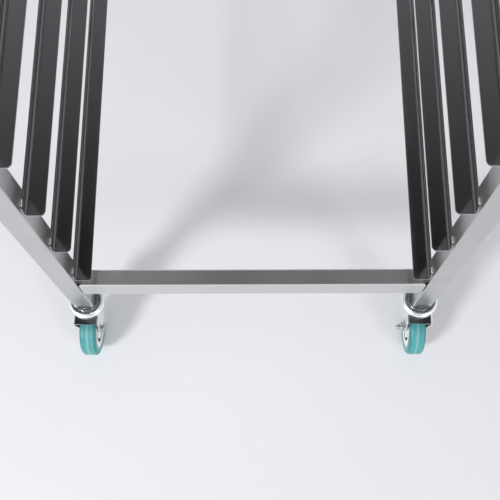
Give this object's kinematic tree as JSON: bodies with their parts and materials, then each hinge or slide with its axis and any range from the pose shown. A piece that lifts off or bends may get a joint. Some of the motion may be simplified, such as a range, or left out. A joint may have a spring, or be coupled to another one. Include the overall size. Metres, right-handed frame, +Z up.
{
  "type": "sheet pan rack",
  "caption": "Open welded tube rack with angle runners in tiers on both sides that carry sliding baking trays, standing on swivel casters with stud stems.",
  "frame": {"origin": "centre of the footprint, on the floor", "axes": "+X to the right as seen from the front, -Y out of the front, +Z up"},
  "size_m": [0.4906, 0.7184, 1.56],
  "materials": {
    "brushed_stainless": "brushed stainless tube",
    "runner_stainless": "smooth cold-rolled stainless sheet",
    "cup_steel": "pressed, zinc plated, dull",
    "zinc_plated": "pressed, bright zinc plated",
    "bolt_steel": "zinc plated",
    "ball_steel": "polished",
    "core_plastic": "moulded, satin",
    "tyre_rubber": "moulded, satin"
  },
  "bodies": {
    "rack": {"post_front_left": "brushed_stainless", "post_front_right": "brushed_stainless", "post_rear_left": "brushed_stainless", "post_rear_right": "brushed_stainless", "bottom_rail_front": "brushed_stainless", "bottom_rail_rear": "brushed_stainless", "top_rail_front": "brushed_stainless", "top_rail_rear": "brushed_stainless", "top_rail_left": "brushed_stainless", "top_rail_right": "brushed_stainless", "runner_left_01": "runner_stainless", "runner_left_02": "runner_stainless", "runner_left_03": "runner_stainless", "runner_left_04": "runner_stainless", "runner_left_05": "runner_stainless", "runner_left_06": "runner_stainless", "runner_left_07": "runner_stainless", "runner_left_08": "runner_stainless", "runner_left_09": "runner_stainless", "runner_left_10": "runner_stainless", "runner_left_11": "runner_stainless", "runner_left_12": "runner_stainless", "runner_right_01": "runner_stainless", "runner_right_02": "runner_stainless", "runner_right_03": "runner_stainless", "runner_right_04": "runner_stainless", "runner_right_05": "runner_stainless", "runner_right_06": "runner_stainless", "runner_right_07": "runner_stainless", "runner_right_08": "runner_stainless", "runner_right_09": "runner_stainless", "runner_right_10": "runner_stainless", "runner_right_11": "runner_stainless", "runner_right_12": "runner_stainless", "swivel_cup_front_left": "cup_steel", "swivel_cup_front_right": "cup_steel", "swivel_cup_rear_left": "cup_steel", "swivel_cup_rear_right": "cup_steel", "stem_fixings": "bolt_steel", "swivel_balls": "ball_steel"},
    "caster_fork_front_left": {"fork_front_left": "zinc_plated", "axle_bolt_front_left": "bolt_steel", "axle_nut_front_left": "bolt_steel"},
    "caster_wheel_front_left": {"wheel_core_front_left": "core_plastic", "tyre_front_left": "tyre_rubber"},
    "caster_fork_front_right": {"fork_front_right": "zinc_plated", "axle_bolt_front_right": "bolt_steel", "axle_nut_front_right": "bolt_steel"},
    "caster_wheel_front_right": {"wheel_core_front_right": "core_plastic", "tyre_front_right": "tyre_rubber"},
    "caster_fork_rear_left": {"fork_rear_left": "zinc_plated", "axle_bolt_rear_left": "bolt_steel", "axle_nut_rear_left": "bolt_steel"},
    "caster_wheel_rear_left": {"wheel_core_rear_left": "core_plastic", "tyre_rear_left": "tyre_rubber"},
    "caster_fork_rear_right": {"fork_rear_right": "zinc_plated", "axle_bolt_rear_right": "bolt_steel", "axle_nut_rear_right": "bolt_steel"},
    "caster_wheel_rear_right": {"wheel_core_rear_right": "core_plastic", "tyre_rear_right": "tyre_rubber"}
  },
  "joints": [
    {"name": "caster_swivel_front_left", "type": "hinge", "parent": "rack", "child": "caster_fork_front_left", "pos_m": [-0.22, -0.2975, 0.0885], "axis": [0, 0, 1], "continuous": true},
    {"name": "wheel_spin_front_left", "type": "hinge", "parent": "caster_fork_front_left", "child": "caster_wheel_front_left", "pos_m": [-0.22092, -0.32148, 0.0375], "axis": [0.9993, -0.0384, 0], "continuous": true},
    {"name": "caster_swivel_front_right", "type": "hinge", "parent": "rack", "child": "caster_fork_front_right", "pos_m": [0.22, -0.2975, 0.0885], "axis": [0, 0, 1], "continuous": true},
    {"name": "wheel_spin_front_right", "type": "hinge", "parent": "caster_fork_front_right", "child": "caster_wheel_front_right", "pos_m": [0.21971, -0.3215, 0.0375], "axis": [0.9999, -0.0122, 0], "continuous": true},
    {"name": "caster_swivel_rear_left", "type": "hinge", "parent": "rack", "child": "caster_fork_rear_left", "pos_m": [-0.22, 0.2975, 0.0885], "axis": [0, 0, 1], "continuous": true},
    {"name": "wheel_spin_rear_left", "type": "hinge", "parent": "caster_fork_rear_left", "child": "caster_wheel_rear_left", "pos_m": [-0.21971, 0.3215, 0.0375], "axis": [0.9999, -0.0122, 0], "continuous": true},
    {"name": "caster_swivel_rear_right", "type": "hinge", "parent": "rack", "child": "caster_fork_rear_right", "pos_m": [0.22, 0.2975, 0.0885], "axis": [0, 0, 1], "continuous": true},
    {"name": "wheel_spin_rear_right", "type": "hinge", "parent": "caster_fork_rear_right", "child": "caster_wheel_rear_right", "pos_m": [0.22092, 0.32148, 0.0375], "axis": [0.9993, -0.0384, 0], "continuous": true}
  ]
}
